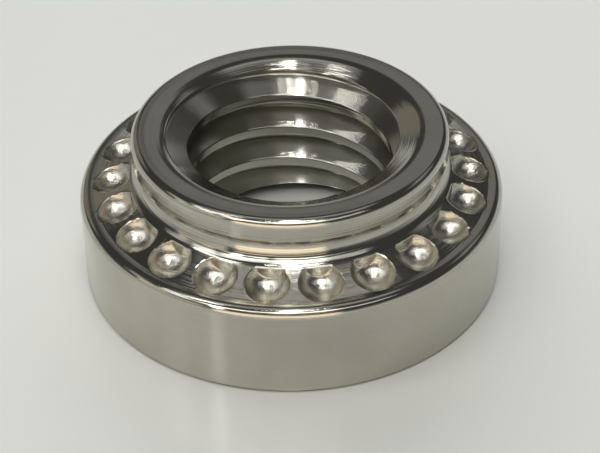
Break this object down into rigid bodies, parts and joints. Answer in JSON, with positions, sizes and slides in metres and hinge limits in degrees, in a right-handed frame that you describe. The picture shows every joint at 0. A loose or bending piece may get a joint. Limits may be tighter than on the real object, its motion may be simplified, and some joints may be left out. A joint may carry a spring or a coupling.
{
  "type": "self-clinching nut",
  "caption": "Turned steel self-clinching nut: a short round shank on a wider round body, with an undercut groove and a ring of scalloped pockets that lock it into sheet metal.",
  "frame": {"origin": "centre of the body's lower face, the flat that the press pushes on and that the nut stands on", "axes": "+Z along the thread's axis, from the body towards the shank's open end; the nut is round, so X and Y only place the first pocket of the ring"},
  "size_m": [0.0086, 0.0086, 0.0033],
  "materials": {
    "turned_steel": "bright turned steel with a thin, slightly warm zinc plating and very fine turning marks"
  },
  "bodies": {
    "root": {"clinch_nut": "turned_steel"}
  },
  "joints": []
}
